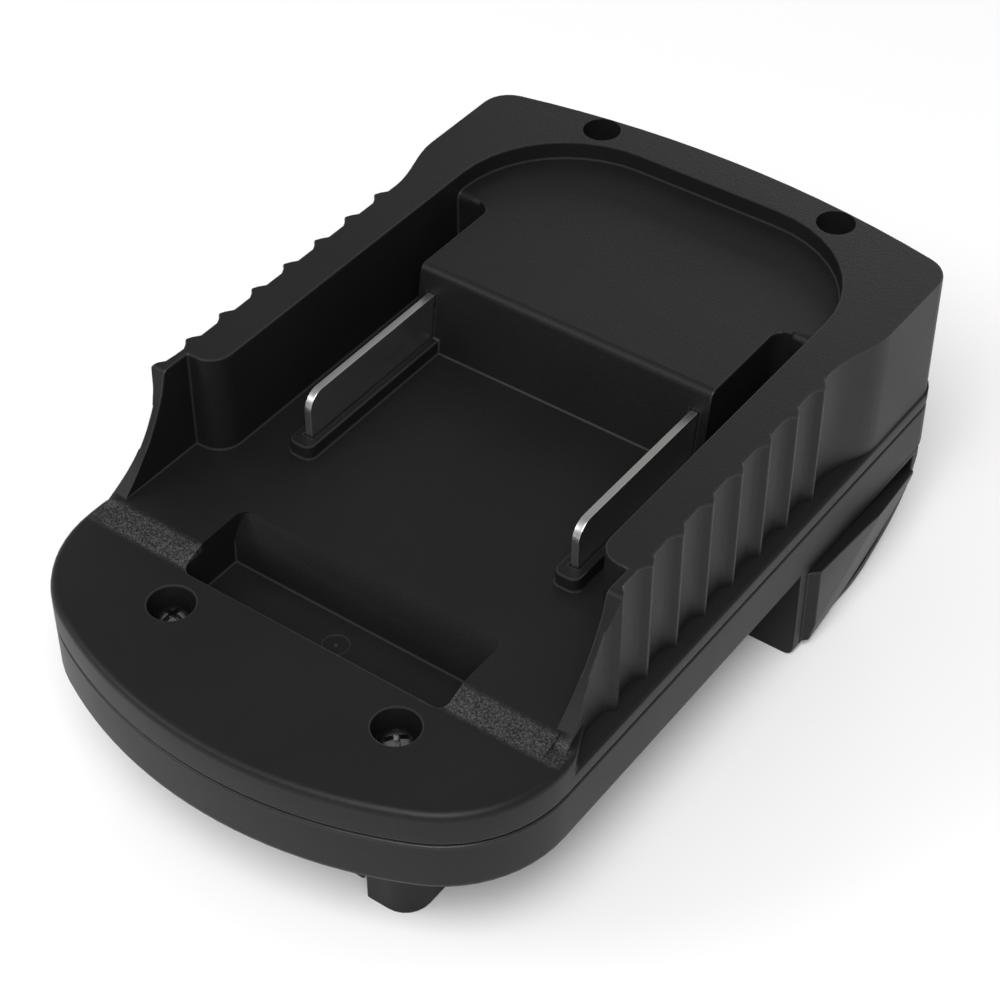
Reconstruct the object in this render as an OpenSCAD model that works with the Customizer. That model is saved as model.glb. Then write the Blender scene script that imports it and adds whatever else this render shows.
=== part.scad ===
// Slide-on battery adapter for cordless tools.
// The top has a railed bay for one make of battery, the underside is the railed head of another.
// X is the width, Y the length with the tongue at -Y, and Z is up from the foot of the head.

/* [Body] */
// Width across the flange and the lower shell
body_w = 80; // [78:0.5:88]
// Overall length, from the tongue to the rear edge
body_l = 125; // [122:0.5:132]
// Radius of the tongue's front edge, seen from above
front_r = 67; // [60:1:90]
// Radius of the two front corners
corner_r = 19; // [14:1:22]
// Radius of the slightly bowed rear edge
rear_r = 160; // [120:5:300]
// Radius of the two rear corners
rear_corner_r = 5; // [3:0.5:7]
// Wall thickness of both shells
wall = 2.2; // [1.8:0.1:2.6]
// Rounding of the long outer edges
edge_r = 1.2; // [0.6:0.1:1.6]
// Depth of the shadow groove along the seam
seam_groove = 0.7; // [0.4:0.1:0.9]
// Height of the shadow groove on each side of the seam
seam_lip = 0.35; // [0.2:0.05:0.5]

/* [Heights] */
// Depth of the head and the shoulder below the lower shell
head_h = 15.5; // [15:0.5:18]
// Height of the lower shell
lower_h = 8.5; // [8:0.5:12]
// Height of the flange ledge above the seam
flange_h = 2.7; // [2.4:0.1:3.2]
// Rise of the ledge from the flange's edge to the ribs
ledge_rise = 0.5; // [0:0.1:0.8]
// Height of the tongue above the seam
tongue_h = 5.6; // [5.2:0.1:6.2]
// Height of the bay floor above the seam
floor_h = 7; // [6.6:0.1:8]
// Height of the platform above the bay floor
platform_h = 13.2; // [12:0.1:14]
// Height of the rim above the bay floor
rim_h = 16.1; // [15:0.1:18]

/* [Battery bay] */
// Width between the rails
bay_w = 62; // [60:0.5:64]
// Distance of the rail ends from the front of the tongue
rail_front = 42.2; // [40:0.2:44]
// Rounding of the rail ends
rail_end_r = 3.5; // [2:0.5:4.5]
// Width between the thin walls ahead of the rails
mouth_w = 72; // [70:0.5:73]
// Distance of the platform's front edge from the front of the tongue
platform_front = 79.8; // [78:0.2:82]
// How far the platform's front wall leans
platform_lean = 2; // [0:0.2:3]
// Rounding of the platform's front edge and of the slots' rear edges
platform_r = 1.3; // [0.5:0.1:2]
// Width of the platform between the side slots
platform_w = 49.6; // [48:0.2:51]
// Length of the side slots behind the platform's front edge
slot_l = 17.4; // [14:0.2:20]
// Distance of the round recess's rear wall from the rear edge
recess_back = 7.3; // [7:0.1:9]
// Radius of the round recess's corners
recess_r = 19; // [14:1:24]
// Radius of the side slots' inner rear corners
slot_r = 2; // [1:0.1:2.5]
// Distance of the thin walls' front ends from the front of the tongue
wall_front = 25; // [24:0.1:27]
// Distance of the thin walls' full height from the front of the tongue
wall_full = 38.4; // [37:0.1:40]

/* [Latch pocket] */
// Width of the latch pocket
pocket_w = 43.6; // [40:0.2:46]
// Length of the latch pocket
pocket_l = 13; // [11:0.2:14]
// Distance of the pocket's front wall from the front of the tongue
pocket_front = 22.5; // [22:0.1:24]
// Depth of the pocket below the bay floor
pocket_h = 8; // [6:0.2:9]
// Depth of the sloped part of its rear wall
pocket_slope_h = 4.3; // [3:0.1:5]
// Run of the sloped part of its rear wall
pocket_slope_run = 2.4; // [1.5:0.1:3]
// Radius of the pocket's corners
pocket_r = 1.6; // [0.8:0.1:2.5]
// Length of the ramp from the tongue up to the bay floor
ramp_l = 3.8; // [3:0.1:5]

/* [Grip ribs] */
// Number of ribs on each side
rib_count = 8; // [6:1:8]
// Spacing of the ribs
rib_pitch = 7; // [6:0.1:7]
// Depth of a rib
rib_depth = 1.2; // [0.6:0.1:1.4]
// Length of a rib's steep back
rib_back = 1.9; // [1.2:0.1:2.4]
// Length of a rib's rising front
rib_rise = 1.8; // [1.2:0.1:2.4]
// Distance of the first rib from the front of the tongue
rib_front = 37.5; // [36:0.1:39]
// Length over which the sides flare out to the tongue, ahead of the ribs
flare_l = 10; // [8:0.5:12]
// Width across the valleys between the ribs
waist_w = 74.4; // [74:0.2:75]
// Length over which the sides swell to the full width
swell_l = 12; // [8:0.5:14]
// Step that is left of the ledge round the rear
rear_step = 0.3; // [0.2:0.05:0.5]

/* [Terminals] */
// Distance between the two blades
blade_pitch = 45; // [43:0.5:46]
// Thickness of a blade
blade_t = 1.2; // [0.8:0.1:1.4]
// Height of a blade above the bay floor
blade_h = 9.2; // [8:0.2:10]
// Exposed length of a blade
blade_l = 27.8; // [24:0.2:29]
// Rounding of a blade's front corner
blade_r = 2.8; // [1:0.2:4]
// Width of the collar round a blade
collar_w = 4; // [3.4:0.1:4.4]
// Height of the collar round a blade
collar_h = 2.2; // [1.5:0.1:3]
// How far the collar runs ahead of its blade
collar_lead = 2.4; // [2:0.1:3]
// Radius of the collar's front corners
collar_r = 1.3; // [0.6:0.1:1.6]
// Distance between the two power slots of the head
clip_pitch = 20; // [18:0.5:21]
// Width of a contact slot
slot_w = 2.4; // [1.8:0.1:3]

/* [Head and shoulder] */
// Width of the head's neck
neck_w = 49; // [47:0.5:51]
// Width across the rail lips
lip_w = 55; // [53:0.5:57]
// Height of the rail lips
lip_h = 4.5; // [3.5:0.1:5]
// Distance of the head from the front of the tongue
head_front = 11.5; // [11:0.5:14]
// Distance of the rail lips from the front of the head
lip_back = 10; // [8:0.5:12]
// Width between the prongs at the head's front
prong_gap = 34; // [33:0.5:35]
// Length of the prongs
prong_l = 12; // [10:0.5:13]
// Distance of the shoulder from the front of the tongue
shoulder_front = 82.3; // [81:0.1:84]
// Length of the shoulder's flat foot
shoulder_flat = 6.2; // [5:0.1:8]
// Length of the shoulder's rising rear sweep
shoulder_sweep = 28; // [27:0.5:29]
// Rounding of the shoulder's lower front corners
shoulder_r = 1.6; // [0.8:0.1:2.2]

/* [Release buttons] */
// How far a button stands out at its front
button_out = 1.4; // [1:0.1:2]
// How much further it stands out towards its rear
button_flare = 0.9; // [0.4:0.1:1.2]
// Length of a button's slanted front face
button_front = 1.5; // [1:0.1:2]
// Distance of a button from the front of the shoulder
button_back = 2.1; // [2:0.1:2.6]
// Strip of the shoulder that is left below a button
button_lip = 1.5; // [1.3:0.1:2]
// How far a button's top falls away towards its rear
button_drop = 1.8; // [1:0.1:2.5]
// Slope of a button's lower rear face, behind the crease
crease_lean = 0.2; // [0.1:0.01:0.24]
// Button travel
button_travel = 3; // [2:0.1:3.2]
// Width of a latch tooth
tooth_w = 5.5; // [4:0.1:6]
// How far a latch tooth stands out of the neck
tooth_out = 2.5; // [1.5:0.1:2.8]
// Mean diameter of a button spring
spring_d = 5.4; // [4.5:0.1:5.8]
// Wire diameter of a button spring
spring_wire = 0.8; // [0.6:0.05:1]
// Turns of a button spring
spring_turns = 7; // [6:1:8]

/* [Fasteners] */
// Diameter of the screw shanks
screw_d = 2.9; // [2.5:0.1:3.1]
// Diameter of the screw heads
screw_head_d = 5.2; // [4.8:0.1:5.3]
// Height of the screw heads
screw_head_h = 1.9; // [1.5:0.1:2.4]
// Distance between the front screws
front_screw_pitch = 37.4; // [36:0.2:39]
// Distance of the front screws from the front of the tongue
front_screw_y = 17; // [16.5:0.1:17.5]
// Diameter of the front screw holes
front_hole_d = 6.5; // [6:0.1:6.8]
// Depth of the front screw seats below the tongue
front_seat = 3.9; // [3.4:0.1:4]
// Distance between the rear screws
rear_screw_pitch = 41; // [39:0.2:43]
// Distance of the rear screws from the rear edge
rear_screw_y = 4.9; // [4.7:0.1:5.2]
// Diameter of the rear screw holes
rear_hole_d = 5.8; // [5.5:0.1:6]
// Height of the rear screw seats above the seam
rear_seat = 6; // [5:0.2:8]

/* [Hidden] */
$fn = 48;

// Clearances: between fixed pieces, round moving pieces, and a cut's overlap past a face
fit_gap = 0.15;
run_gap = 0.3;
eps = 1;

// Colours as the photograph shows them
shell_black = [0.09, 0.09, 0.095];
metal_grey = [0.62, 0.63, 0.65];
screw_black = [0.14, 0.14, 0.15];
insulator = [0.2, 0.2, 0.21];
lead_red = [0.62, 0.07, 0.06];
lead_black = [0.05, 0.05, 0.05];

// Heights of the main faces
shell_z = head_h;
seam_z = shell_z + lower_h;
flange_z = seam_z + flange_h;
tongue_z = seam_z + tongue_h;
floor_z = seam_z + floor_h;
platform_z = floor_z + platform_h;
rim_z = floor_z + rim_h;
pocket_z = floor_z - pocket_h;
body_h = rim_z;

// Places along the length, measured from the tongue's front and the rear edge
front_y = -body_l / 2;
rear_y = body_l / 2;
rail_y = front_y + rail_front;
platform_y = front_y + platform_front;
slot_y = platform_y + slot_l;
recess_y = rear_y - recess_back;
pocket_y = front_y + pocket_front;
head_y = front_y + head_front;
head_wall_y = head_y + prong_l;
shoulder_y = front_y + shoulder_front;

// Plan outline: tangent arcs, each pulled in by the same inset
front_c = [0, front_y + front_r];
corner_x = body_w / 2 - corner_r;
corner_c = [corner_x, front_c.y - sqrt(pow(front_r - corner_r, 2) - pow(corner_x, 2))];
corner_a = atan2(corner_c.y - front_c.y, corner_c.x);
rear_c = [0, rear_y - rear_r];
rear_x = body_w / 2 - rear_corner_r;
rear_corner_c = [rear_x, rear_c.y + sqrt(pow(rear_r - rear_corner_r, 2) - pow(rear_x, 2))];
rear_a = atan2(rear_corner_c.y - rear_c.y, rear_corner_c.x);

function arc(c, r, a0, a1, n) = [for (i = [0:n]) let (a = a0 + (a1 - a0) * i / n) c + r * [cos(a), sin(a)]];
function ellipse(c, rx, ry, a0, a1, n) =
    [for (i = [0:n]) let (a = a0 + (a1 - a0) * i / n) c + [rx * cos(a), ry * sin(a)]];
function curve(p0, p1, p2, n) =
    [for (i = [0:n]) let (t = i / n) (1 - t) * (1 - t) * p0 + 2 * t * (1 - t) * p1 + t * t * p2];
function smooth(t) = t * t * (3 - 2 * t);
function flipped(points) = [for (i = [len(points) - 1:-1:0]) [-points[i].x, points[i].y]];
function inner(points) = [for (i = [1:len(points) - 2]) points[i]];

function half_outline(inset) = concat(
    arc(front_c, front_r - inset, -90, corner_a, 12),
    inner(arc(corner_c, corner_r - inset, corner_a, 0, 11)),
    [corner_c + [corner_r - inset, 0]],
    arc(rear_corner_c, rear_corner_r - inset, 0, rear_a, 6),
    inner(arc(rear_c, rear_r - inset, rear_a, 90, 7)),
    [rear_c + [0, rear_r - inset]]);
function outline(inset) = concat(half_outline(inset), inner(flipped(half_outline(inset))));

// Rounded edge as a list of [inset, height] rings, from the side face to the flat face
function edge_rings(z_side, z_flat) =
    [for (a = [0:30:90]) [edge_r * (1 - cos(a)), z_side + (z_flat - z_side) * sin(a)]];

// Skin through rings of the plan outline
module loft(rings) {
    n = len(outline(0));
    last = len(rings) - 1;
    points = [for (r = rings) for (p = outline(r[0])) [p.x, p.y, r[1]]];
    bottom = [for (i = [n - 1:-1:0]) i];
    top = [for (i = [0:n - 1]) last * n + i];
    sides = [for (k = [0:last - 1]) for (i = [0:n - 1]) let (j = (i + 1) % n)
        [k * n + i, k * n + j, (k + 1) * n + j, (k + 1) * n + i]];
    polyhedron(points, [for (f = concat([bottom, top], sides)) [for (i = [len(f) - 1:-1:0]) f[i]]]);
}

// Extrude a [y, z] profile across the width
module across(w) {
    rotate([90, 0, 90]) linear_extrude(w, center = true) children();
}

module both_sides() {
    children();
    mirror([1, 0, 0]) children();
}

// Box from its two corners
module box(low, high) {
    translate(low) cube(high - low);
}

// Upper shell

rib_front_y = front_y + rib_front;
rib_x = waist_w / 2;
rib_end_y = rib_front_y + (rib_count - 1) * rib_pitch + rib_back;
swell_y = rib_end_y + rib_rise;
flare_y = rib_front_y - rib_rise - rib_back;
wall_front_y = front_y + wall_front;
wall_full_y = front_y + wall_full;

// Plan of one side: flared front, ribs with a rising front and a steep back, swollen rear
function flare_points(x0, x1) =
    [for (i = [0:8]) [x0 - (x0 - x1) * smooth(i / 8), flare_y - flare_l * (1 - i / 8)]];
function rib_points() = [for (i = [0:rib_count - 1]) let (y = rib_front_y + i * rib_pitch)
    for (p = [[0, -rib_rise], [0.4, -0.45 * rib_rise], [1, 0], [0.6, rib_back / 2], [0, rib_back]])
        [rib_x + p.x * rib_depth, y + p.y]];
function swell_points() = [for (i = [0:8])
    [rib_x + (body_w / 2 - rear_step - rib_x) * smooth(i / 8), swell_y + swell_l * i / 8]];
function wall_half() = concat(flare_points(body_w / 2 - edge_r, rib_x), rib_points(), swell_points(),
    arc(rear_corner_c, rear_corner_r - rear_step, 0, rear_a, 6),
    inner(arc(rear_c, rear_r - rear_step, rear_a, 90, 7)),
    [rear_c + [0, rear_r - rear_step]]);
function wall_outline() = concat(wall_half(), flipped([for (i = [0:len(wall_half()) - 2]) wall_half()[i]]));

// Side view of the walls: the front ends sweep down to the tongue
wall_nose = 1.2;
sweep_pull = [wall_front_y + 0.62 * (wall_full_y - wall_front_y), floor_z + rim_h / 4];
sweep_end = [wall_front_y, tongue_z - run_gap];
function wall_profile() = concat(
    [[rear_y + eps, flange_z - eps], [rear_y + eps, rim_z]],
    arc([wall_full_y, rim_z - wall_nose], wall_nose, 90, 150, 4),
    inner(curve([wall_full_y - wall_nose, rim_z - 1.6 * wall_nose], sweep_pull, sweep_end, 12)),
    [sweep_end, [wall_front_y, flange_z - eps]]);

module walls() {
    intersection() {
        translate([0, 0, flange_z - eps]) linear_extrude(rim_z - flange_z + eps) polygon(wall_outline());
        across(body_w + eps) polygon(wall_profile());
    }
}

// Ledge of the flange outside the walls, with a rounded outer edge
ledge_r = 0.6;
module ledge_cut() {
    x = body_w / 2 + eps;
    intersection() {
        translate([0, 0, seam_z]) linear_extrude(tongue_h + eps)
            polygon(concat(flare_points(body_w / 2 + fit_gap, rib_x - run_gap),
                [[rib_x - run_gap, swell_y], [-eps, swell_y], [-eps, rear_y + eps], [x, rear_y + eps],
                    [x, flare_y - flare_l]]));
        translate([0, rear_y + 2 * eps, 0]) rotate([90, 0, 0]) linear_extrude(body_l)
            polygon(concat([[-2 * eps, tongue_z + 2 * eps], [-2 * eps, flange_z + ledge_rise],
                [rib_x, flange_z + ledge_rise]],
                arc([body_w / 2 - ledge_r, flange_z - ledge_r], ledge_r, 90, 0, 4),
                [[x + eps, flange_z - ledge_r], [x + eps, tongue_z + 2 * eps]]));
    }
}

ramp_y = pocket_y + 0.5;
module floor_slab() {
    across(waist_w - eps) polygon([[ramp_y - ramp_l / 4, tongue_z - (floor_z - tongue_z) / 4],
        [ramp_y + ramp_l, floor_z], [recess_y, floor_z], [recess_y, flange_z],
        [ramp_y - ramp_l / 4, flange_z]]);
}

// Plan of the bay: the mouth between the thin walls, then the narrower space between the rails
function bay_half() = concat(
    [[mouth_w / 2, front_y], [mouth_w / 2, rail_y], [bay_w / 2 + rail_end_r, rail_y]],
    arc([bay_w / 2 + rail_end_r, rail_y + rail_end_r], rail_end_r, 270, 180, 6),
    [[bay_w / 2, slot_y]]);
// Plan of the platform between the side slots, whose inner rear corners are round
function platform_half() = concat([[platform_w / 2, rail_y], [platform_w / 2, slot_y - slot_r]],
    inner(arc([platform_w / 2 + slot_r, slot_y - slot_r], slot_r, 180, 90, 6)),
    [[platform_w / 2 + slot_r, slot_y], [platform_w / 2 + slot_r, slot_y + eps]]);
module bay_cut() {
    difference() {
        translate([0, 0, floor_z]) linear_extrude(rim_h + eps) polygon(concat(bay_half(), flipped(bay_half())));
        intersection() {
            translate([0, 0, floor_z - eps]) linear_extrude(rim_h)
                polygon(concat(platform_half(), flipped(platform_half())));
            across(bay_w) polygon(concat([[platform_y - platform_lean, floor_z - eps]],
                arc([platform_y + platform_r, platform_z - platform_r], platform_r, 175, 90, 5),
                [[slot_y + 2 * eps, platform_z], [slot_y + 2 * eps, floor_z - eps]]));
        }
    }
}
// Rounded rear edge of a side slot
module slot_edge_cut() {
    x0 = platform_w / 2 + slot_r + fit_gap;
    translate([(x0 + bay_w / 2) / 2, 0, 0]) across(bay_w / 2 - x0)
        polygon(concat(arc([slot_y + platform_r, platform_z - platform_r], platform_r, 180, 90, 5),
            [[slot_y + platform_r, platform_z + eps], [slot_y - eps, platform_z + eps],
                [slot_y - eps, platform_z - platform_r]]));
}
function recess_half() = concat([[bay_w / 2, platform_y]],
    arc([bay_w / 2 - recess_r, recess_y - recess_r], recess_r, 0, 90, 10));
module recess_cut() {
    translate([0, 0, platform_z]) linear_extrude(rim_h) polygon(concat(recess_half(), flipped(recess_half())));
}

function rounded(w, y0, y1, r) = concat(
    arc([w / 2 - r, y0 + r], r, 270, 360, 5), arc([w / 2 - r, y1 - r], r, 0, 90, 5),
    arc([r - w / 2, y1 - r], r, 90, 180, 5), arc([r - w / 2, y0 + r], r, 180, 270, 5));
module pocket_cut() {
    back = pocket_y + pocket_l;
    intersection() {
        translate([0, 0, pocket_z - eps]) linear_extrude(pocket_h + 3 * eps)
            polygon(rounded(pocket_w, pocket_y, back, pocket_r));
        across(pocket_w) polygon([[pocket_y, floor_z + eps], [pocket_y, pocket_z],
            [back - pocket_slope_run, pocket_z], [back - pocket_slope_run, floor_z - pocket_slope_h],
            [back, floor_z], [back, floor_z + eps]]);
    }
}
module pocket_box() {
    box([-pocket_w / 2 - wall, pocket_y - wall, pocket_z - wall],
        [pocket_w / 2 + wall, pocket_y + pocket_l + wall, tongue_z - edge_r]);
}

blade_x = blade_pitch / 2;
blade_back = platform_y - platform_lean + 2.6;
blade_front = platform_y - platform_lean + 0.7 - blade_l;
module blade_slot() {
    box([blade_x - blade_t / 2 - fit_gap, blade_front - fit_gap, seam_z],
        [blade_x + blade_t / 2 + fit_gap, blade_back + fit_gap, floor_z + blade_h + fit_gap]);
}
module collar() {
    translate([blade_x, 0, floor_z]) linear_extrude(collar_h)
        polygon(rounded(collar_w, blade_front - collar_lead,
            platform_y - platform_lean + 2 * collar_r, collar_r));
}

front_screw_x = front_screw_pitch / 2;
front_screw_pos = [front_screw_x, front_y + front_screw_y];
rear_screw_pos = [rear_screw_pitch / 2, rear_y - rear_screw_y];
front_seat_z = tongue_z - front_seat;
rear_seat_z = seam_z + rear_seat;
boss_d = 6;
boss_in = 0.8;
module screw_hole(pos, seat_z, hole_d, top_z) {
    translate([pos.x, pos.y, seat_z]) cylinder(d = hole_d, h = top_z - seat_z + eps);
    translate([pos.x, pos.y, seam_z - eps]) cylinder(d = screw_d + 4 * fit_gap, h = seat_z - seam_z + 2 * eps);
}

// Bosses under the bay floor for the blade retainer
retainer_y = platform_y - 22;
retainer_x = 12;
retainer_t = 2.4;
retainer_gap = 2;
small_screw_d = 2;
small_head_d = 3.6;
small_head_h = 1.5;
small_pilot = 3.2;
retainer_edge = 4;
retainer_boss_d = 5;
retainer_top = floor_z - wall - retainer_gap;
module retainer_boss() {
    translate([retainer_x, retainer_y, retainer_top])
        cylinder(d = retainer_boss_d, h = retainer_gap + wall / 2);
}
module retainer_pilot() {
    translate([retainer_x, retainer_y, retainer_top - eps])
        cylinder(d = small_screw_d + 2 * fit_gap, h = small_pilot + eps);
}

platform_wall = 3.4;
ledge_t = 1.4;
module upper_cavity() {
    translate([0, 0, seam_z - eps]) linear_extrude(flange_h - ledge_t + eps) polygon(outline(wall));
    intersection() {
        translate([0, 0, seam_z]) linear_extrude(tongue_h - wall) polygon(outline(wall + fit_gap));
        box([wall - rib_x, front_y, seam_z - eps], [rib_x - wall, rear_y, floor_z]);
    }
    box([-bay_w / 2 - eps, pocket_y + pocket_l + wall, seam_z],
        [bay_w / 2 + eps, platform_y + 2 * wall, floor_z - wall]);
    box([platform_wall - platform_w / 2, platform_y + 2 * wall, seam_z],
        [platform_w / 2 - platform_wall, recess_y - recess_r / 2, platform_z - wall]);
}

module upper_shell() {
    color(shell_black) difference() {
        union() {
            difference() {
                union() {
                    difference() {
                        loft(concat([[seam_groove, seam_z], [0, seam_z + seam_lip]],
                            edge_rings(tongue_z - edge_r, tongue_z)));
                        both_sides() ledge_cut();
                    }
                    walls();
                    floor_slab();
                }
                bay_cut();
                recess_cut();
                both_sides() slot_edge_cut();
                upper_cavity();
            }
            pocket_box();
            both_sides() {
                collar();
                retainer_boss();
                translate([front_screw_pos.x, front_screw_pos.y, seam_z])
                    cylinder(d = front_hole_d + wall, h = tongue_h - edge_r);
                translate([rear_screw_pos.x, rear_screw_pos.y - boss_in, seam_z])
                    cylinder(d = boss_d, h = rear_seat);
            }
        }
        pocket_cut();
        both_sides() {
            blade_slot();
            retainer_pilot();
            screw_hole(front_screw_pos, front_seat_z, front_hole_d, tongue_z);
            screw_hole(rear_screw_pos, rear_seat_z, rear_hole_d, rim_z);
        }
    }
}

// Lower shell with the head and the shoulder

prong_r = 4;
module neck_plan(inset) {
    w = neck_w / 2 - inset;
    polygon(concat(
        [[prong_gap / 2, head_y], [w - prong_r, head_y]],
        arc([w - prong_r, head_y + prong_r], prong_r, -90, 0, 6),
        [[w, shoulder_y + eps], [-w, shoulder_y + eps]],
        arc([-w + prong_r, head_y + prong_r], prong_r, 180, 270, 6),
        [[-prong_gap / 2, head_y], [-prong_gap / 2, head_wall_y], [prong_gap / 2, head_wall_y]]));
}

// Side view of the shoulder: a flat foot, then an elliptical sweep up to the shell
sweep_y = shoulder_y + shoulder_flat;
function shoulder_profile(inset, front) = concat(
    [[front, shell_z + (inset > 0 ? wall + eps : eps)], [front, inset]],
    ellipse([sweep_y, shell_z], shoulder_sweep - inset, shell_z - inset, 270, 360, 12),
    [[sweep_y + shoulder_sweep - inset, shell_z + (inset > 0 ? wall + eps : eps)]]);

module shoulder() {
    w = body_w / 2 - shoulder_r;
    intersection() {
        across(body_w) polygon(shoulder_profile(0, shoulder_y));
        translate([0, rear_y, 0]) rotate([90, 0, 0]) linear_extrude(body_l)
            polygon(concat(arc([w, shoulder_r], shoulder_r, 270, 360, 5),
                [[body_w / 2, seam_z], [-body_w / 2, seam_z]],
                arc([-w, shoulder_r], shoulder_r, 180, 270, 5)));
    }
}

// Side view of a button: a straight front, the shoulder's sweep below and a falling top
button_y = shoulder_y + button_back;
button_top = shell_z - run_gap;
button_mid_y = button_y + shoulder_sweep / 2;
button_end_y = sweep_y + shoulder_sweep - button_lip;
function button_profile(grow, front) = concat(
    [[button_mid_y, button_top + grow], [button_y - front, button_top + grow],
        [button_y - front, button_lip - grow]],
    ellipse([sweep_y, shell_z], shoulder_sweep - button_lip + grow, shell_z - button_lip + grow, 270, 351, 12),
    grow > 0 ? [[button_end_y + grow, button_top + grow]] : []);

// Height of the sweep at a place along the length, inside the wall by the given inset
function sweep_z(y, inset) =
    shell_z - (shell_z - inset) * sqrt(1 - pow(max(0, y - sweep_y) / (shoulder_sweep - inset), 2));

tooth_back = 10;
tooth_y = shoulder_y - tooth_back;
tooth_z = lip_h + 2 * run_gap;
tooth_h = 4.4;
tooth_flat = 1.5;
shoulder_wall = 1.6;
inner_x = body_w / 2 - wall - fit_gap;
flange_x = inner_x - run_gap;
pad_in_x = flange_x - eps;

module lower_bosses() {
    both_sides() {
        translate([front_screw_pos.x, front_screw_pos.y, shell_z + wall / 2])
            cylinder(d = boss_d, h = lower_h - wall / 2);
        translate([rear_screw_pos.x, rear_screw_pos.y - boss_in, shell_z + wall / 2])
            cylinder(d = boss_d, h = lower_h - wall / 2);
        translate([bracket_x, bracket_y, boss_foot_z])
            cylinder(d = bracket_boss_d, h = bracket_z - boss_foot_z);
    }
}
module pilot_hole(pos, top_z, depth) {
    translate([pos.x, pos.y, top_z - depth]) cylinder(d = screw_d + 2 * fit_gap, h = depth + eps);
}
pilot_depth = lower_h - wall / 2;

// Window in the head's front wall and floor for the contact block
block_w = prong_gap - 4;
block_top = head_h - 2.7;
module contact_window() {
    box([-block_w / 2, head_wall_y - eps, -eps], [block_w / 2, head_wall_y + wall + eps, block_top]);
}

module lower_cavity() {
    translate([0, 0, shell_z + wall]) linear_extrude(lower_h) polygon(outline(wall));
    box([-neck_w / 2 + wall, head_wall_y + wall, wall],
        [neck_w / 2 - wall, shoulder_y + 2 * shoulder_wall, shell_z + wall + eps]);
    across(2 * inner_x) polygon(shoulder_profile(wall, shoulder_y + shoulder_wall));
    both_sides() {
        notch_x = pad_in_x - button_travel - run_gap;
        translate([(notch_x + body_w / 2 + eps) / 2, 0, 0]) across(body_w / 2 + eps - notch_x)
            polygon(button_profile(run_gap, run_gap));
        box([neck_w / 2 - wall - eps, tooth_y - run_gap, tooth_z - run_gap],
            [neck_w / 2 + eps, tooth_y + tooth_w + run_gap, tooth_z + tooth_h + run_gap]);
    }
}

module lower_shell() {
    color(shell_black) difference() {
        union() {
            difference() {
                union() {
                    loft(concat([for (r = [3:-1:0]) edge_rings(shell_z + edge_r, shell_z)[r]],
                        [[0, seam_z - seam_lip], [seam_groove, seam_z]]));
                    linear_extrude(shell_z + wall / 2) neck_plan(0);
                    both_sides()
                        box([neck_w / 2 - wall, head_y + lip_back, 0], [lip_w / 2, shoulder_y + eps, lip_h]);
                    shoulder();
                }
                lower_cavity();
                contact_window();
            }
            lower_bosses();
        }
        both_sides() {
            pilot_hole(front_screw_pos, seam_z, pilot_depth);
            pilot_hole(rear_screw_pos, seam_z, pilot_depth);
            translate([bracket_x, bracket_y, bracket_z - bracket_pilot])
                cylinder(d = small_screw_d + 2 * fit_gap, h = bracket_pilot + eps);
        }
    }
}

// Contact block: an insulating insert between the prongs, with open slots for the tool's blades

block_front = head_y + 2;
block_back = head_wall_y + wall + 8;
clip_x = clip_pitch / 2;
clip_w = 5.6;
clip_front = block_front + 4;
clip_back = block_back - 1.6;
clip_z = 2.5;
clip_h = 6.5;
signal_x = 3.4;
block_step = 2;
module contact_block() {
    color(insulator) difference() {
        union() {
            box([-block_w / 2 + fit_gap, block_front, fit_gap],
                [block_w / 2 - fit_gap, head_wall_y + wall - fit_gap, block_top - fit_gap]);
            box([-block_w / 2 + fit_gap, block_front, wall + fit_gap],
                [block_w / 2 - fit_gap, block_back, block_top - fit_gap]);
            box([-block_w / 2 - block_step, head_wall_y + wall + fit_gap, wall + fit_gap],
                [block_w / 2 + block_step, head_wall_y + wall + fit_gap + block_step, block_top + block_step]);
        }
        both_sides() {
            for (x = [clip_x, signal_x])
                box([x - slot_w / 2, block_front - eps, -eps],
                    [x + slot_w / 2, clip_back - clip_bend, clip_z + clip_h + 2 * fit_gap]);
            box([clip_x - clip_w / 2, clip_front, clip_z - fit_gap],
                [clip_x + clip_w / 2, block_back + eps, clip_z + clip_h + fit_gap]);
        }
    }
}

// Contact clip: a folded strip whose two leaves pinch the tool's blade

clip_t = 0.6;
clip_pinch = 0.6;
clip_flare = 1.6;
clip_bend = 3;
tab_w = 2.4;
tab_l = 6;
tab_z = 1;
function leaf() = let (w = clip_w / 2 - fit_gap, b = clip_back, f = clip_front + 2 * fit_gap)
    [[w, b], [w, b - clip_bend], [clip_pinch + clip_t, f + clip_bend], [clip_flare + clip_t, f],
        [clip_flare, f], [clip_pinch, f + clip_bend], [w - clip_t, b - clip_bend], [w - clip_t, b]];
module contact_clip(side) {
    color(metal_grey) translate([side * clip_x, 0, clip_z]) {
        linear_extrude(clip_h) {
            polygon(leaf());
            mirror([1, 0]) polygon(leaf());
            translate([-clip_w / 2 + fit_gap, clip_back - clip_t]) square([clip_w - 2 * fit_gap, clip_t]);
        }
        box([-tab_w / 2, clip_back - clip_t / 2, tab_z], [tab_w / 2, clip_back + tab_l, tab_z + clip_t]);
    }
}

// Terminal blade: a flat blade with a foot that the retainer holds and a tail for the lead

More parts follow.
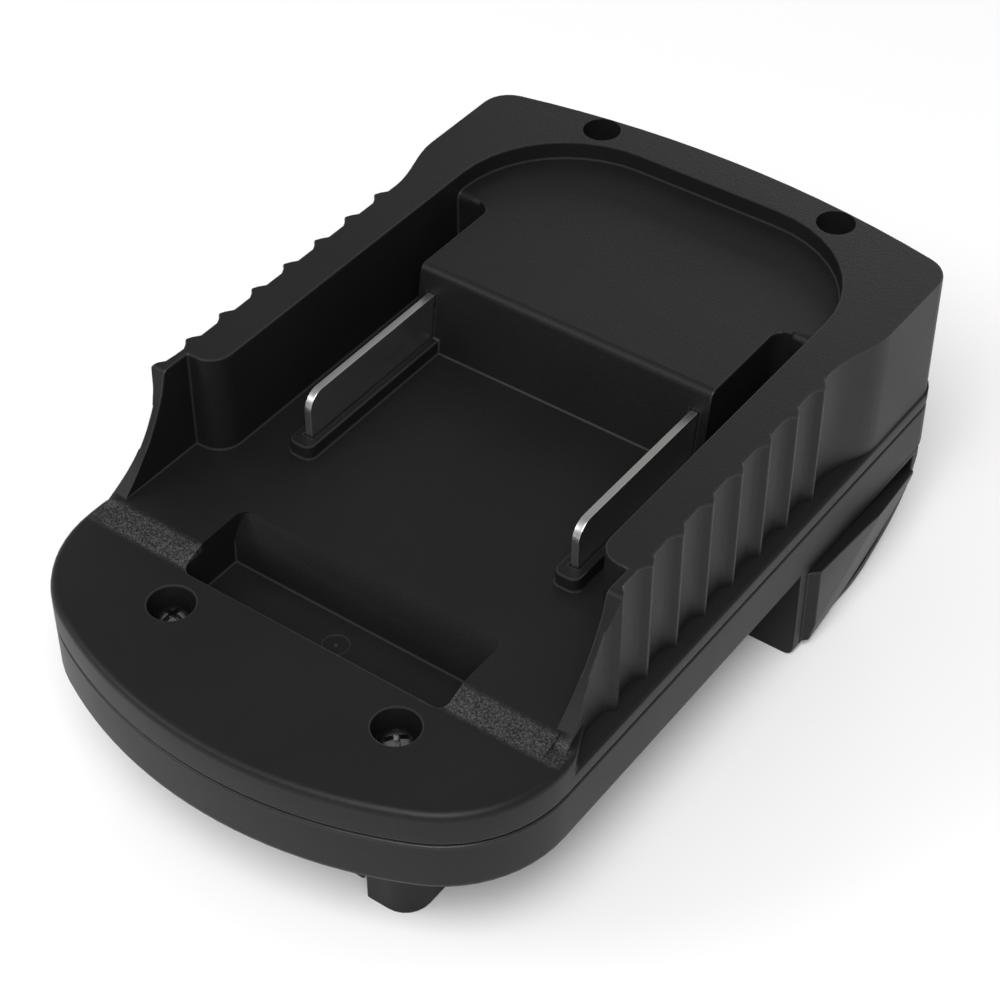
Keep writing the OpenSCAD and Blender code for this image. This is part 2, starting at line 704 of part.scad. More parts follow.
tail_l = 6;
tail_z = retainer_top - retainer_t - 4.2;
function blade_profile() = concat(
    arc([blade_front + blade_r, floor_z + blade_h - blade_r], blade_r, 180, 90, 8),
    [[blade_back, floor_z + blade_h], [blade_back, floor_z - wall],
        [retainer_y + tail_l, floor_z - wall], [retainer_y + tail_l, retainer_top],
        [retainer_y + tail_l / 2, retainer_top], [retainer_y + tail_l / 2, tail_z],
        [retainer_y - tail_l / 2, tail_z], [retainer_y - tail_l / 2, retainer_top],
        [retainer_y - tail_l, retainer_top], [retainer_y - tail_l, floor_z - wall],
        [blade_front, floor_z - wall]]);
module terminal_blade(side) {
    color(metal_grey) translate([side * blade_x, 0, 0]) across(blade_t) polygon(blade_profile());
}

module blade_retainer() {
    color(insulator) difference() {
        box([-blade_x - retainer_edge, retainer_y - retainer_edge, retainer_top - retainer_t],
            [blade_x + retainer_edge, retainer_y + retainer_edge, retainer_top]);
        both_sides() {
            tail_t = blade_t / 2 + fit_gap;
            tail_half = tail_l / 2 + fit_gap;
            box([blade_x - tail_t, retainer_y - tail_half, retainer_top - retainer_t - eps],
                [blade_x + tail_t, retainer_y + tail_half, retainer_top + eps]);
            translate([retainer_x, retainer_y, retainer_top - retainer_t - eps])
                cylinder(d = small_screw_d + 2 * fit_gap, h = retainer_t + 2 * eps);
        }
    }
}

// Screws: a low domed head with a cross recess, and a plain shank

tip_gap = 0.5;
cross_l = 0.62;
cross_w = 0.14;
module screw(head_d, head_h, shank_d, shank_l) {
    difference() {
        union() {
            cylinder(d = head_d, h = head_h);
            translate([0, 0, -shank_l]) cylinder(d = shank_d, h = shank_l + head_h / 2);
        }
        for (a = [0, 90])
            rotate(a) translate([-head_d * cross_l / 2, -head_d * cross_w / 2, head_h / 2])
                cube([head_d * cross_l, head_d * cross_w, head_h]);
    }
}
module front_screws() {
    color(screw_black) both_sides() translate([front_screw_pos.x, front_screw_pos.y, front_seat_z])
        screw(screw_head_d, screw_head_h, screw_d, front_seat_z - seam_z + pilot_depth - tip_gap);
}
module rear_screws() {
    color(screw_black) both_sides() translate([rear_screw_pos.x, rear_screw_pos.y, rear_seat_z])
        screw(screw_head_d, screw_head_h, screw_d, rear_seat_z - seam_z + pilot_depth - tip_gap);
}
module retainer_screws() {
    color(metal_grey) both_sides() translate([retainer_x, retainer_y, retainer_top - retainer_t])
        mirror([0, 0, 1]) screw(small_head_d, small_head_h, small_screw_d, retainer_t + small_pilot - tip_gap);
}
module bracket_screws() {
    color(metal_grey) both_sides() translate([bracket_x, bracket_y, bracket_z + bracket_t])
        screw(small_head_d, small_head_h, small_screw_d, bracket_t + bracket_pilot - tip_gap);
}

// Leads: one tube each, swept from a blade's tail down to its contact clip

lead_d = 2.4;
lead_sides = 8;
sleeve_d = 3.4;
sleeve_l = 5;
blade_end = [blade_x - blade_t / 2 - sleeve_d / 2 - fit_gap, retainer_y - 1, tail_z + 1.9];
clip_end = [clip_x, clip_back + tab_w, clip_z + tab_z + clip_t + sleeve_d / 2 + fit_gap];
lead_start = sleeve_l + 1;
function unit(v) = v / norm(v);
function bend(p0, p1, p2, p3, t) =
    pow(1 - t, 3) * p0 + 3 * t * pow(1 - t, 2) * p1 + 3 * t * t * (1 - t) * p2 + pow(t, 3) * p3;
function lead_path() = let (a = blade_end - [0, lead_start, 0], b = clip_end + [0, lead_start, 0])
    concat([blade_end], [for (i = [0:10]) bend(a, a - [0, 9, 0], b + [0, 9, 0], b, i / 10)], [clip_end]);
function tangent(p, i) = unit(p[min(i + 1, len(p) - 1)] - p[max(i - 1, 0)]);
function ring(c, u, v, r, n) = [for (k = [0:n - 1]) c + r * (u * cos(360 * k / n) + v * sin(360 * k / n))];
module tube(rings) {
    n = len(rings[0]);
    last = len(rings) - 1;
    caps = [[for (k = [0:n - 1]) k], [for (k = [n - 1:-1:0]) last * n + k]];
    sides = [for (i = [0:last - 1]) for (k = [0:n - 1]) let (j = (k + 1) % n, a = i * n, b = (i + 1) * n)
        for (f = [[a + k, b + k, b + j], [a + k, b + j, a + j]]) f];
    polyhedron([for (q = rings) for (p = q) p], concat(caps, sides));
}
module lead() {
    path = lead_path();
    tube([for (i = [0:len(path) - 1]) let (t = tangent(path, i), u = unit(cross(t, [1, 0, 0])))
        ring(path[i], u, cross(t, u), lead_d / 2, lead_sides)]);
}
module sleeve(pos) {
    translate(pos) rotate([90, 0, 0]) difference() {
        cylinder(d = sleeve_d, h = sleeve_l, center = true);
        cylinder(d = lead_d + 2 * fit_gap, h = sleeve_l + eps, center = true);
    }
}
module sleeves() {
    color(insulator) {
        sleeve(blade_end - [0, sleeve_l / 2, 0]);
        sleeve(clip_end + [0, sleeve_l / 2, 0]);
    }
}

// Release button: the pad outside, a flange behind the wall, and an arm that carries the latch tooth

pad_x = body_w / 2;
flange_t = 2.6;
flange_up = 1.2;
arm_w = 5;
arm_t = 3;
arm_x = neck_w / 2 - wall - 1.8;
arm_y = button_y + 1.4;
arm_z = tooth_z - 2 * run_gap;
arm_h = tooth_h + 2 * run_gap;
spring_y = button_mid_y;
spring_z = button_top - 5.8;
post_d = 3.4;
post_l = 3;
crease_z = button_lip + 3;
crease_a = atan2(button_top - crease_z, button_mid_y - button_y - button_front);
flare_a = atan2(button_flare, button_mid_y - button_y);
drop_a = atan2(button_drop, button_end_y - button_mid_y);
swell_back = 6;
tail_back = 2;
function pad_plan() = concat(
    [[pad_in_x, button_y], [pad_x, button_y], [pad_x + button_out, button_y + button_front]],
    curve([pad_x + button_out + button_flare, button_mid_y + swell_back],
        [pad_x + button_out + button_flare, button_end_y - tail_back], [pad_x, button_end_y + run_gap], 8),
    [[pad_in_x, button_end_y + run_gap]]);
module pad() {
    difference() {
        intersection() {
            linear_extrude(button_top) polygon(pad_plan());
            translate([pad_x, 0, 0]) across(body_h) polygon(button_profile(0, 0));
        }
        translate([pad_x + button_out, button_y + button_front, crease_z]) rotate([crease_a - 90, 0, 0])
            rotate([0, flare_a, 0]) linear_extrude(4 * body_h, center = true)
                polygon([[0, 0], [body_h, 0], [body_h, body_h], [-crease_lean * body_h, body_h]]);
        translate([pad_x, button_mid_y, button_top]) rotate([-drop_a, 0, 0])
            box([-body_h, 0, 0], [body_h, shoulder_sweep, wall]);
    }
}
module button_flange() {
    slack = wall + run_gap;
    translate([flange_x - flange_t / 2, 0, 0]) across(flange_t)
        polygon(concat([[button_y, button_top + flange_up], [button_y, slack]],
            ellipse([sweep_y, shell_z], shoulder_sweep - slack, shell_z - slack, 270, 360, 12),
            [[sweep_y + shoulder_sweep - slack, button_top + flange_up]]));
}
module latch_arm() {
    box([arm_x - arm_t, arm_y, arm_z], [flange_x - flange_t / 2, arm_y + arm_w, arm_z + arm_h]);
    box([arm_x - arm_t, tooth_y, arm_z], [arm_x, arm_y + arm_w, arm_z + arm_h]);
    translate([0, 0, tooth_z]) linear_extrude(tooth_h) polygon([[arm_x - eps, tooth_y], [neck_w / 2, tooth_y],
        [neck_w / 2 + tooth_out, tooth_y + tooth_w - tooth_flat], [neck_w / 2 + tooth_out, tooth_y + tooth_w],
        [arm_x - eps, tooth_y + tooth_w]]);
}
module release_button() {
    color(shell_black) {
        pad();
        button_flange();
        latch_arm();
        translate([flange_x - flange_t - post_l, spring_y, spring_z]) rotate([0, 90, 0])
            cylinder(d = post_d, h = post_l + flange_t / 2);
    }
}

// Button springs and the bracket between them

bracket_x = 7;
bracket_y = spring_y;
bracket_z = 8.5;
bracket_t = 2.2;
bracket_boss_d = 4.8;
bracket_pilot = 5;
boss_foot_z = sweep_z(bracket_y + bracket_boss_d / 2, wall / 3);
bracket_w = 10;
seat_x = 13;
spring_l = flange_x - flange_t - seat_x;
module spring_bracket() {
    color(insulator) difference() {
        union() {
            box([-seat_x, bracket_y - bracket_w / 2, bracket_z],
                [seat_x, bracket_y + bracket_w / 2, bracket_z + bracket_t]);
            both_sides() {
                box([seat_x - 2, bracket_y - bracket_w / 2, spring_z - 4],
                    [seat_x, bracket_y + bracket_w / 2, spring_z + 4]);
                translate([seat_x - eps, spring_y, spring_z]) rotate([0, 90, 0])
                    cylinder(d = post_d, h = post_l + eps);
            }
        }
        both_sides() translate([bracket_x, bracket_y, bracket_z - eps])
            cylinder(d = small_screw_d + 2 * fit_gap, h = bracket_t + 2 * eps);
    }
}

// Helix of a compression spring, just clear of its two seats
spring_steps = 12;
spring_sides = 6;
function spring_path() = let (n = spring_turns * spring_steps, free = spring_l - spring_wire - 2 * fit_gap)
    [for (i = [0:n]) let (a = 360 * i / spring_steps)
        [free * i / n, spring_d / 2 * cos(a), spring_d / 2 * sin(a)]];
module button_spring() {
    path = spring_path();
    color(metal_grey) translate([seat_x + spring_wire / 2 + fit_gap, spring_y, spring_z])
        tube([for (i = [0:len(path) - 1]) let (t = tangent(path, i), u = unit([0, path[i].y, path[i].z]))
            ring(path[i], u, cross(t, u), spring_wire / 2, spring_sides)]);
}

module on_left() {
    mirror([1, 0, 0]) children();
}

upper_shell();
lower_shell();
contact_block();
terminal_blade(-1);  // terminal_blade_left
terminal_blade(1);  // terminal_blade_right
blade_retainer();
retainer_screws();
contact_clip(-1);  // contact_clip_left
contact_clip(1);  // contact_clip_right
color(lead_black) on_left() lead();  // lead_left
color(lead_red) lead();  // lead_right
on_left() sleeves();  // sleeves_left
sleeves();  // sleeves_right
on_left() release_button();  // release_button_left
release_button();  // release_button_right
on_left() button_spring();  // button_spring_left
button_spring();  // button_spring_right
spring_bracket();
bracket_screws();
front_screws();
rear_screws();
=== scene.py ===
# %% [markdown]
# # A slide-on battery adapter
# The adapter is a black moulded housing: the top takes one kind of slide battery and the underside
# fits a tool made for another kind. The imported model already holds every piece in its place, so this
# lesson dresses those pieces: softened edges, turned screws, wound springs and worked finishes.

from math import cos, degrees, pi, radians, sin

import bmesh
import bpy
from mathutils import Matrix, Vector
from mathutils.bvhtree import BVHTree
from mathutils.geometry import intersect_line_line_2d, intersect_point_line


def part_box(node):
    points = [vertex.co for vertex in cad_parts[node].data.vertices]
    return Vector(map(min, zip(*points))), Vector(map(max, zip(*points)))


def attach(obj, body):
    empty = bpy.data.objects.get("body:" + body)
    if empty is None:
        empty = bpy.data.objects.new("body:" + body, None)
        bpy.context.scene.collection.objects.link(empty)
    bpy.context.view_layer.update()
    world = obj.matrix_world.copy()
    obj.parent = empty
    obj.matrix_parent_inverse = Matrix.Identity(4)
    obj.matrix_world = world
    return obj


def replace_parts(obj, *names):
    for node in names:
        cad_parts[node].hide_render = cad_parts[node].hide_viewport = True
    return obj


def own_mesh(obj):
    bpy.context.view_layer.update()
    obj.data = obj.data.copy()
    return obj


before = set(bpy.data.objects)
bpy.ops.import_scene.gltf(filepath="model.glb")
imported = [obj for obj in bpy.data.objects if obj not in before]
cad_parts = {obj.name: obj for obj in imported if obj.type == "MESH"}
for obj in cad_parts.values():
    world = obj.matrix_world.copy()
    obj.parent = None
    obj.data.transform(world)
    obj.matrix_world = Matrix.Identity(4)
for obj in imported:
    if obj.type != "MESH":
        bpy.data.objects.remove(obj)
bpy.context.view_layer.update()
MM = 0.001

# %% [markdown]
# ## Camera
# The photograph looks down on the front right corner through a long lens. A long lens keeps the two
# long sides nearly parallel, so the angle and the distance matter more than the framing. The camera
# is aimed with a track quaternion, which is the plainest way to point it at a place. The lamps at
# the end are aimed by the same helper.

# %% Camera
def placed(name, data):
    thing = bpy.data.objects.new(name, data)
    bpy.context.scene.collection.objects.link(thing)
    return thing


def aimed(thing, place, target):
    thing.location = place
    thing.rotation_euler = (target - thing.location).to_track_quat("-Z", "Y").to_euler()


aim = Vector((5.56, -5.08, 31.0)) * MM
camera = placed("camera", bpy.data.cameras.new("camera"))
aimed(camera, Vector((150.6, -206.0, 257.5)) * MM, aim)
camera.data.lens = 88.2
camera.data.clip_start = 0.01
bpy.context.scene.camera = camera
print("camera distance %.3f m" % (aim - camera.location).length)

# %% [markdown]
# ## Shader sockets as numbers
# A material is a graph of nodes, and long graphs are hard to read as links. This small class wraps
# an output socket so that `0.5 + 0.2 * grain` adds the Math nodes by itself. One method makes any
# other node from its type, its settings and its inputs, and short ones name the common nodes.

# %% Socket class
FACTOR_OUTPUT = 2                               # of the Attribute node
FIRST_COLOUR, SECOND_COLOUR, MIXED_COLOUR = 6, 7, 2     # sockets of the Mix node


class Wire:
    def __init__(self, tree, socket):
        self.tree, self.socket = tree, socket

    def node(self, kind, settings=None, inputs=None, output=0):
        made = self.tree.nodes.new("ShaderNode" + kind)
        for name, value in (settings or {}).items():
            setattr(made, name, value)
        for key, value in (inputs or {}).items():
            if isinstance(value, Wire):
                self.tree.links.new(value.socket, made.inputs[key])
            else:
                made.inputs[key].default_value = value
        return Wire(self.tree, made.outputs[output])

    def math(self, operation, first, second):
        return self.node("Math", {"operation": operation}, {0: first, 1: second})

    def __add__(self, other): return self.math("ADD", self, other)
    def __radd__(self, other): return self.math("ADD", other, self)
    def __sub__(self, other): return self.math("SUBTRACT", self, other)
    def __rsub__(self, other): return self.math("SUBTRACT", other, self)
    def __mul__(self, other): return self.math("MULTIPLY", self, other)
    def __rmul__(self, other): return self.math("MULTIPLY", other, self)

    def between(self, low, high):
        return self.node("MapRange", {"interpolation_type": "SMOOTHSTEP"},
                         {0: self, 1: low, 2: high})

    def blend(self, first, second):
        return self.node("Mix", {"data_type": "RGBA"},
                         {0: self, FIRST_COLOUR: first, SECOND_COLOUR: second}, MIXED_COLOUR)

    def noise(self, scale, detail, roughness=0.5):
        return self.node("TexNoise", None, {"Vector": self, "Scale": scale, "Detail": detail,
                                            "Roughness": roughness})

    def bump(self, strength, distance):
        return self.node("Bump", None, {"Strength": strength, "Distance": distance,
                                        "Height": self})

    def attribute(self, name):
        return self.node("Attribute", {"attribute_name": name}, output=FACTOR_OUTPUT)


print("socket class ready")

# %% [markdown]
# ## A finish to start from
# Every finish begins as a plain Principled surface with its slot's name. The textures run on Object
# coordinates, which are metres on the real piece, so a grain keeps its true size and needs no
# unwrapping. The function hands back the material, the coordinates and a way to feed the surface.

# %% A new finish
def new_finish(slot, specular=0.5):
    material = bpy.data.materials.new("worked_" + slot)
    material.use_nodes = True
    material["slot"] = slot
    tree = material.node_tree
    shader = tree.nodes["Principled BSDF"]
    shader.inputs["Specular IOR Level"].default_value = specular
    start = Wire(tree, tree.nodes.new("ShaderNodeTexCoord").outputs["Object"])

    def feed(name, value):
        if isinstance(value, Wire):
            tree.links.new(value.socket, shader.inputs[name])
        else:
            shader.inputs[name].default_value = value
    return material, start, feed


def grey(tone):
    return (tone, tone, tone, 1)


print("finish helper ready")

# %% [markdown]
# ## Black moulded plastic
# The housing is filled plastic from a spark-eroded mould, so it has a fine, even grain and a dull
# sheen. The grain goes into a Bump node at its real size, about 0.4 mm. Faces that carry the `edge`
# attribute are smoother, and their colour is painted a little lighter: a painted highlight on the
# edges. The short ramps beside the latch pocket were left much rougher in the mould: a mask on Object
# coordinates finds them, deeper pits are added there to the bump, and the pits are painted lighter
# as a painted highlight.

# %% Moulded plastic
GRAIN_SCALE, CLOUD_SCALE, PIT_SCALE = 2600.0, 70.0, 3500.0      # noise cells per metre
# The first constant paints the bevelled edges lighter: a painted highlight.
EDGE_PAINTED_HIGHLIGHT, GRAIN_LIGHT, LIGHTEST = 0.20, 0.08, 12              # LIGHTEST: times the tone
PIT_DEPTH = 1.5
RAMP_FRONT, RAMP_BACK = (-0.0402, -0.0392), (-0.0364, -0.0352)  # metres along Y
RAMP_FOOT, RAMP_TOP = (0.0294, 0.0297), (0.0309, 0.0312)        # metres along Z


def ramp_mask(place):
    along, up = [place.node("SeparateXYZ", None, {0: place}, output=axis) for axis in (1, 2)]
    mask = along.between(*RAMP_FRONT) * (1 - along.between(*RAMP_BACK))
    return mask * up.between(*RAMP_FOOT) * (1 - up.between(*RAMP_TOP))


def moulded_plastic(slot, tone, gloss, grain_depth, ramps=False):
    finish, place, feed = new_finish(slot, specular=0.22)
    grain = place.noise(GRAIN_SCALE, detail=2.0, roughness=0.6)
    cloud = place.noise(CLOUD_SCALE, detail=3.0)
    edge = place.attribute("edge")
    # Bevelled edges are painted lighter here, a painted highlight; grain and cloud vary the tone.
    light = EDGE_PAINTED_HIGHLIGHT * edge + GRAIN_LIGHT * grain * cloud
    depth = grain_depth * grain
    if ramps:
        band = ramp_mask(place)
        pits_and_highlight = place.noise(PIT_SCALE, detail=3.0, roughness=0.7)
        # On the ramps the pits are painted lighter, a painted highlight, and they are deepened in the
        # bump below.
        light = light + band * pits_and_highlight.between(0.35, 0.75)
        depth = depth + PIT_DEPTH * band * pits_and_highlight
    feed("Base Color", light.blend(grey(tone), grey(LIGHTEST * tone)))
    feed("Roughness", gloss + 0.12 * cloud - 0.12 * edge)
    feed("Normal", depth.bump(strength=0.35, distance=0.00008))
    return finish


shell_plastic = moulded_plastic("shell_plastic", 0.006, 0.40, 1.0, ramps=True)
button_plastic = moulded_plastic("button_plastic", 0.006, 0.38, 0.8)
insulator_plastic = moulded_plastic("insulator_plastic", 0.012, 0.50, 0.5)
print("plastics:", shell_plastic.name, button_plastic.name, insulator_plastic.name)

# %% [markdown]
# ## Metals
# The blades are punched from plated strip: rolling leaves fine lines along the blade, and the sheared
# edge is cleaner and brighter than the stained face. Lines are noise stretched along one axis with a
# Mapping node. The screws are blackened or zinc plated, and the springs are drawn wire.

# %% Metal finishes
STREAK_SCALE, STAIN_SCALE = 900.0, 120.0        # noise cells per metre
STAINED, DULLED = 0.75, 0.55                    # how far stains cover, how dark they are


def rolled_metal(slot, colour, gloss, stretch=(1, 1, 1)):
    finish, place, feed = new_finish(slot)
    strip = place.node("Mapping", None, {"Vector": place, "Scale": stretch})
    streak = strip.noise(STREAK_SCALE, detail=4.0, roughness=0.65)
    stain = place.noise(STAIN_SCALE, detail=3.0)
    stain_and_highlight = STAINED * stain * (1 - place.attribute("edge"))
    dull = [c * DULLED for c in colour]
    feed("Base Color", stain_and_highlight.blend((*colour, 1), (*dull, 1)))
    feed("Metallic", 1.0)
    feed("Roughness", gloss + 0.10 * streak + 0.12 * stain)
    feed("Normal", streak.bump(strength=0.2, distance=0.00004))
    return finish


blade_metal = rolled_metal("blade_metal", (0.62, 0.62, 0.61), 0.24, (1, 0.06, 1))
clip_metal = rolled_metal("clip_metal", (0.68, 0.50, 0.28), 0.26, (1, 0.1, 1))
spring_steel = rolled_metal("spring_steel", (0.50, 0.50, 0.51), 0.28)
case_screw_steel = rolled_metal("case_screw_steel", (0.24, 0.24, 0.25), 0.17)
small_screw_steel = rolled_metal("small_screw_steel", (0.52, 0.52, 0.53), 0.28)
print("metals:", blade_metal.name, clip_metal.name, spring_steel.name,
      case_screw_steel.name, small_screw_steel.name)

# %% [markdown]
# ## Which edges see daylight
# No moulded or punched edge is a knife edge: a small radius on each one catches the light and draws
# the thin bright lines that outline the real housing. Inside the closed housing a bevel would be
# wasted, so rays sent out from the middle of an edge find whether daylight reaches it. The rays point
# to the corners of a small globe, which spreads them evenly.

# %% Daylight
RAY_START = 0.05        # mm that a ray starts off the edge
OPEN_RAYS = 3           # rays that must reach the sky


def sky_tree(*nodes):
    dots, faces = [], []
    for node in nodes:
        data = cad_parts[node].data
        faces += [[len(dots) + i for i in p.vertices] for p in data.polygons]
        dots += [v.co.copy() for v in data.vertices]
    return BVHTree.FromPolygons(dots, faces)


globe = bmesh.new()
bmesh.ops.create_icosphere(globe, subdivisions=2, radius=1.0)
sky_ways = [v.co.copy() for v in globe.verts]
globe.free()
housing_tree = sky_tree("upper_shell", "lower_shell")
print("sky directions:", len(sky_ways))

# %% [markdown]
# ## Places that stay sharp
# Where several edges meet within less than a bevel's width there is no room for one, and its faces
# would fold over each other. Boxes in millimetres list those places on the right half. The left half
# is its mirror image, so the test takes the size of x without its sign.

# %% Tight places
tight_places = (
    ((34, -41, 29.3), (41, -29, 36)),       # feet of the walls beside the tongue
    ((36.5, -27, 42), (39.5, -23, 48)),     # tips of the walls
    ((26, 34, 42), (29.5, 36.5, 44.6)),     # ends of the side slots
    ((17.5, 54.6, 46), (23.5, 60.4, 48)),   # rims of the rear holes
    ((17.5, 60.3, 46), (22, 60.6, 48)),     # the same rims at the back
    ((0, 34, 26), (41, 63, 27.7)),          # foot of the rear flange
    ((30, -30, 26.2), (41, 35, 27.7)),      # foot of the grips
    ((14, -51, 25), (23, -40, 28)),         # seats of the front screws
    ((36, 24, -1), (41, 40, 2)),            # feet of the shoulder
    ((37, 53, 14.5), (41, 55, 17.2)))       # rear ends of the button openings


def inside(place, box):
    return all(low < p < high for low, p, high in zip(box[0], place, box[1]))


def in_daylight(edge):
    middle = (edge.verts[0].co + edge.verts[1].co) / 2
    right_half = (abs(middle.x), middle.y, middle.z)
    if any(inside(right_half, box) for box in tight_places):
        return False
    out = sum((f.normal for f in edge.link_faces), Vector()).normalized()
    start = (middle + RAY_START * out) * MM
    return sum(housing_tree.ray_cast(start, way)[0] is None for way in sky_ways) >= OPEN_RAYS


print("tight places:", len(tight_places))

# %% [markdown]
# ## From loose triangles to whole faces
# A CAD node comes as loose triangles. A copy is merged, its flat faces are dissolved into whole ones,
# and crumbs shorter than a tenth of a millimetre go. The work is done in millimetres, because the
# bevel tool has trouble with lengths as small as these in metres.

# %% Merge a node
MERGE_REACH, CRUMB = 0.0005, 0.1        # mm
FLAT_ANGLE = radians(0.5)


def merged(node):
    mesh = bmesh.new()
    mesh.from_mesh(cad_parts[node].data)
    bmesh.ops.scale(mesh, vec=(1 / MM,) * 3, verts=mesh.verts)
    bmesh.ops.remove_doubles(mesh, verts=mesh.verts, dist=MERGE_REACH)
    bmesh.ops.dissolve_limit(mesh, angle_limit=FLAT_ANGLE, verts=mesh.verts, edges=mesh.edges)
    bmesh.ops.dissolve_degenerate(mesh, dist=CRUMB, edges=mesh.edges)
    mesh.normal_update()
    mesh.edges.index_update()
    return mesh


loose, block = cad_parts["contact_block"].data, merged("contact_block")
print("contact block:", len(loose.polygons), "triangles become", len(block.faces), "faces")
block.free()

# %% [markdown]
# ## Bevel the sharp edges
# The radius of a mould's edge is a bevel of two segments. Only edges sharper than 34 degrees get one,
# since the rounded corners of the solids are themselves made of 30 degree steps. The new faces are
# marked in an `edge` layer: the plastics paint them lighter, a painted highlight, and make them
# smoother, and the metals keep stains off them. A bevel face that lies flush with its neighbour isn't
# marked, because no edge shows there.

# %% Bevel
SHARP_ANGLE = radians(34)
FLUSH = 0.999       # cosine between two faces that are one plane to the eye


def bevelled(node, width, keep, left_out):
    mesh = merged(node)
    marks = mesh.faces.layers.float.new("edge")
    sharp = [e for e in mesh.edges if e.index not in left_out and e.is_manifold
             and e.calc_face_angle() > SHARP_ANGLE and keep(e)]
    ends = {e.index: [v.co.copy() for v in e.verts] for e in sharp}
    made = bmesh.ops.bevel(mesh, geom=sharp, offset=width, offset_type="OFFSET", affect="EDGES",
                           segments=2, profile=0.5, material=-1, clamp_overlap=False)
    mesh.normal_update()
    fresh = set(made["faces"])
    for face in fresh:
        beside = {f for e in face.edges for f in e.link_faces} - fresh
        face[marks] = float(all(f.normal.dot(face.normal) < FLUSH for f in beside))
    return mesh, ends


trial, trial_ends = bevelled("contact_block", 0.15, lambda edge: True, set())
print("contact block:", len(trial_ends), "edges bevelled in a first trial")

# %% [markdown]
# ## Find the folds
# A bevel that is too wide for its place shows in the outline of a face: two sides of it cross. Each
# face is laid flat, its sides are tested in pairs, and the crossing points are turned back into
# space. An edge that passes close to such a point is taken to have caused the fold.

# %% Crossings
def crossings(faces):
    spots = []
    for face in faces:
        turn = face.normal.to_track_quat("Z", "Y")
        flat = [turn.inverted() @ v.co for v in face.verts]
        sides = [(p.to_2d(), q.to_2d()) for p, q in zip(flat, flat[1:] + flat[:1])]
        for i in range(len(sides) - 2):
            for j in range(i + 2, len(sides) - (i == 0)):
                hit = intersect_line_line_2d(*sides[i], *sides[j])
                if hit:
                    spots.append(turn @ Vector((hit.x, hit.y, flat[i].z)))
    return spots


def near_any(spots, reach, ends):
    for spot in spots:
        foot, part = intersect_point_line(spot, *ends)
        foot = ends[0] if part < 0 else ends[1] if part > 1 else foot
        if (spot - foot).length < reach:
            return True
    return False


print("contact block:", len(crossings(trial.faces)), "folds in that trial")
trial.free()

# %% [markdown]
# ## Finish a piece
# Every piece ends the same way: smooth shading with a crease at each edge that is still sharp, normals
# that follow the large flat faces so that the bevels alone look round, the finish, the body that the
# piece rides on and its slot.

# %% Finish a piece
CREASE_ANGLE = radians(40)


def finished(mesh, name, finish, body="housing"):
    mesh.normal_update()
    for face in mesh.faces:
        face.smooth = True
    for edge in mesh.edges:
        edge.smooth = edge.calc_face_angle(pi) < CREASE_ANGLE
    data = bpy.data.meshes.new(name)
    mesh.to_mesh(data)
    mesh.free()
    data.materials.append(finish)
    piece = placed(name, data)
    weight = piece.modifiers.new("flat faces lead", "WEIGHTED_NORMAL")
    weight.keep_sharp = True
    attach(piece, body)
    return piece


print("edges of %.0f degrees and more are shaded as creases" % degrees(CREASE_ANGLE))

# %% [markdown]
# ## Soften the mouldings
# The bevel is tried, the folds are looked for, and the edges beside them are left sharp in the next
# attempt, with a wider reach each time. Starting afresh from the solid keeps every attempt clean.
# Should a fold outlast the last attempt, its face is cut into triangles so that it still fills. Each
# kind of piece has its own radius: large on the mouldings, small on the thin metal.

# %% Soften
ATTEMPTS = 8


def softened(node, name, finish, width, body="housing", keep=lambda edge: True):
    left_out = set()
    for attempt in range(1, ATTEMPTS + 1):
        mesh, ends = bevelled(node, width, keep, left_out)
        spots = crossings(mesh.faces)
        if not spots or attempt == ATTEMPTS:
            break
        mesh.free()
        reach = 2 * attempt * width
        left_out |= {i for i, pair in ends.items() if near_any(spots, reach, pair)}
    folded = [f for f in mesh.faces if len(f.verts) > 4 and crossings([f])]
    bmesh.ops.triangulate(mesh, faces=folded, quad_method="FIXED", ngon_method="EAR_CLIP")
    bmesh.ops.scale(mesh, vec=(MM,) * 3, verts=mesh.verts)
    print(name, "rounded edges:", len(ends), "left sharp:", len(left_out),
          "attempts:", attempt, "folds:", len(spots))
    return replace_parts(finished(mesh, name, finish, body), node)


softened("upper_shell", "top_housing", shell_plastic, 0.25, keep=in_daylight)
softened("lower_shell", "base_housing", shell_plastic, 0.25, keep=in_daylight)
for side in ("left", "right"):
    softened("release_button_" + side, side + "_release_button", button_plastic, 0.2,
             side + "_button")
    softened("terminal_blade_" + side, side + "_terminal", blade_metal, 0.15)
    softened("contact_clip_" + side, side + "_clip", clip_metal, 0.08)
softened("contact_block", "contact_insert", insulator_plastic, 0.15)
softened("blade_retainer", "retainer_bar", insulator_plastic, 0.2)
softened("spring_bracket", "spring_seat", insulator_plastic, 0.2)

# %% [markdown]
# ## Lathe and thread
# A screw is cold formed and then rolled with a coarse thread for plastic. Its body is a lathe shape:
# one half outline and a full spin. The thread is a small triangle spun round the shank with a rise at
# each step, which is how a thread is rolled, and both of its ends are closed.

# %% Lathe and thread
THREAD_STEPS = 20       # steps in one turn
THREAD_FOOT = 0.3       # half width of the thread's foot, as a share of its pitch
WELD = 1e-6             # metres within which two points are one


def only(kind, parts):
    return [part for part in parts if isinstance(part, kind)]


def turned(mesh, centre, axis, outline, steps):
    side = Vector((0, 0, 1)) if abs(axis.z) < 0.5 else Vector((1, 0, 0))
    dots = [mesh.verts.new(centre + side * r * MM + axis * h * MM) for r, h in outline]
    lines = [mesh.edges.new(pair) for pair in zip(dots, dots[1:])]
    bmesh.ops.spin(mesh, geom=dots + lines, cent=centre, axis=axis, angle=2 * pi, steps=steps,
                   use_merge=True)


